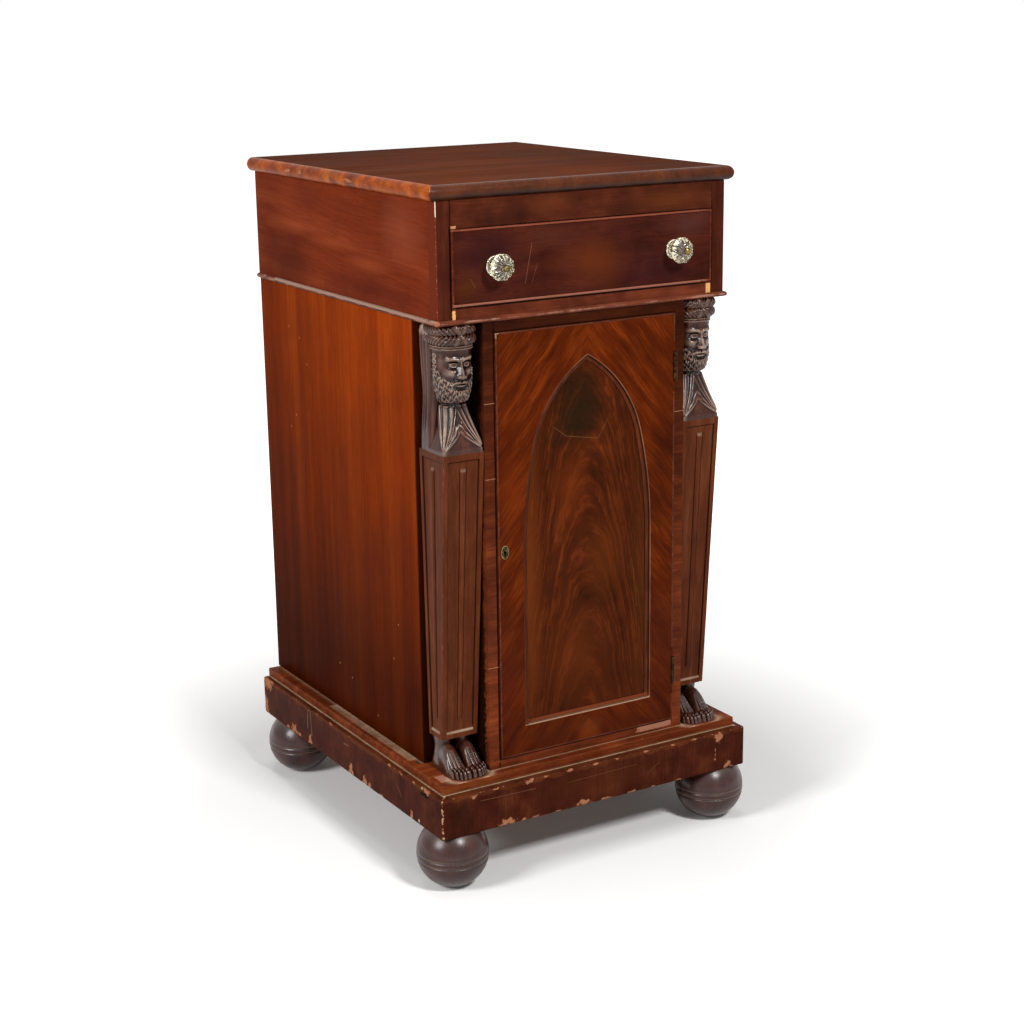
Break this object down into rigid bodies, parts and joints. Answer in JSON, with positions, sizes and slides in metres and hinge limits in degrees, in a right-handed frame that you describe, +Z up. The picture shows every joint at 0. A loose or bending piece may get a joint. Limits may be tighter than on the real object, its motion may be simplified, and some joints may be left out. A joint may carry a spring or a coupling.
{
  "type": "side cupboard",
  "caption": "Free-standing pedestal cupboard with one drawer over a door with a sunk pointed-arch panel, carved corner terms and ball feet.",
  "frame": {"origin": "on the floor, under the middle of the whole bounding box", "axes": "+Z up, -Y out of the front with the door and drawer, +X to the right seen from the front"},
  "size_m": [0.5942, 0.668, 1.06],
  "materials": {
    "turned_mahogany": "turned, dark and glossy",
    "plinth_veneer": "mahogany veneer, glossy and worn at the edges",
    "side_mahogany": "mahogany board, polished, straight grain",
    "crossbanding": "mahogany crossbanding, polished",
    "dark_veneer": "dark mahogany veneer, polished",
    "top_mahogany": "mahogany board, dulled by light",
    "flame_veneer": "mahogany veneer with slanting flame figure, polished",
    "crotch_veneer": "book-matched mahogany crotch veneer, polished",
    "carved_mahogany": "carved, darkened, waxed",
    "secondary_wood": "pine, planed and aged",
    "pressed_glass": "clear pressed glass",
    "brass": "aged brass",
    "lock_iron": "filed iron, tarnished"
  },
  "bodies": {
    "carcase": {"ball_foot_front_left": "turned_mahogany", "ball_foot_front_right": "turned_mahogany", "ball_foot_back_left": "turned_mahogany", "ball_foot_back_right": "turned_mahogany", "plinth_rail_front": "plinth_veneer", "plinth_rail_back": "secondary_wood", "plinth_rail_left": "plinth_veneer", "plinth_rail_right": "plinth_veneer", "base_board": "plinth_veneer", "lower_side_left": "side_mahogany", "lower_side_right": "side_mahogany", "recess_wall_left": "side_mahogany", "recess_wall_right": "side_mahogany", "cheek_left": "crossbanding", "cheek_right": "crossbanding", "cupboard_bottom": "crossbanding", "cupboard_top": "crossbanding", "cupboard_shelf": "secondary_wood", "back_panel": "secondary_wood", "case_bottom": "dark_veneer", "corner_post_left": "dark_veneer", "corner_post_right": "dark_veneer", "upper_side_left": "side_mahogany", "upper_side_right": "side_mahogany", "case_rail": "dark_veneer", "drawer_guide_left": "secondary_wood", "drawer_guide_right": "secondary_wood", "case_bead": "dark_veneer", "top_board": "top_mahogany", "term_bust_left": "carved_mahogany", "term_bust_right": "carved_mahogany", "term_shaft_left": "carved_mahogany", "term_shaft_right": "carved_mahogany", "term_feet_left": "carved_mahogany", "term_feet_right": "carved_mahogany", "hinge_upper_frame_leaf": "brass", "hinge_lower_frame_leaf": "brass"},
    "door": {"door_lock_stile": "flame_veneer", "door_hinge_stile": "flame_veneer", "door_bottom_rail": "flame_veneer", "door_top_rail": "flame_veneer", "door_spandrel_left": "flame_veneer", "door_spandrel_right": "flame_veneer", "door_panel": "crotch_veneer", "arch_moulding": "dark_veneer", "escutcheon": "brass", "lock_case": "lock_iron", "hinge_upper_door_leaf": "brass", "hinge_lower_door_leaf": "brass"},
    "bolt": {"lock_bolt": "brass"},
    "drawer": {"drawer_front": "dark_veneer", "drawer_side_left": "secondary_wood", "drawer_side_right": "secondary_wood", "drawer_back": "secondary_wood", "drawer_bottom": "secondary_wood", "knob_glass_left": "pressed_glass", "knob_glass_right": "pressed_glass", "knob_bolt_left": "brass", "knob_bolt_right": "brass"}
  },
  "joints": [
    {"name": "drawer_slide", "type": "slide", "parent": "carcase", "child": "drawer", "axis": [0, -1, 0], "range_m": [0, 0.45]},
    {"name": "door_hinge", "type": "hinge", "parent": "carcase", "child": "door", "pos_m": [0.1591, -0.28995, 0.5], "axis": [0, 0, 1], "range_deg": [0, 135]},
    {"name": "bolt_slide", "type": "slide", "parent": "door", "child": "bolt", "axis": [-1, 0, 0], "range_m": [0, 0.008]}
  ]
}
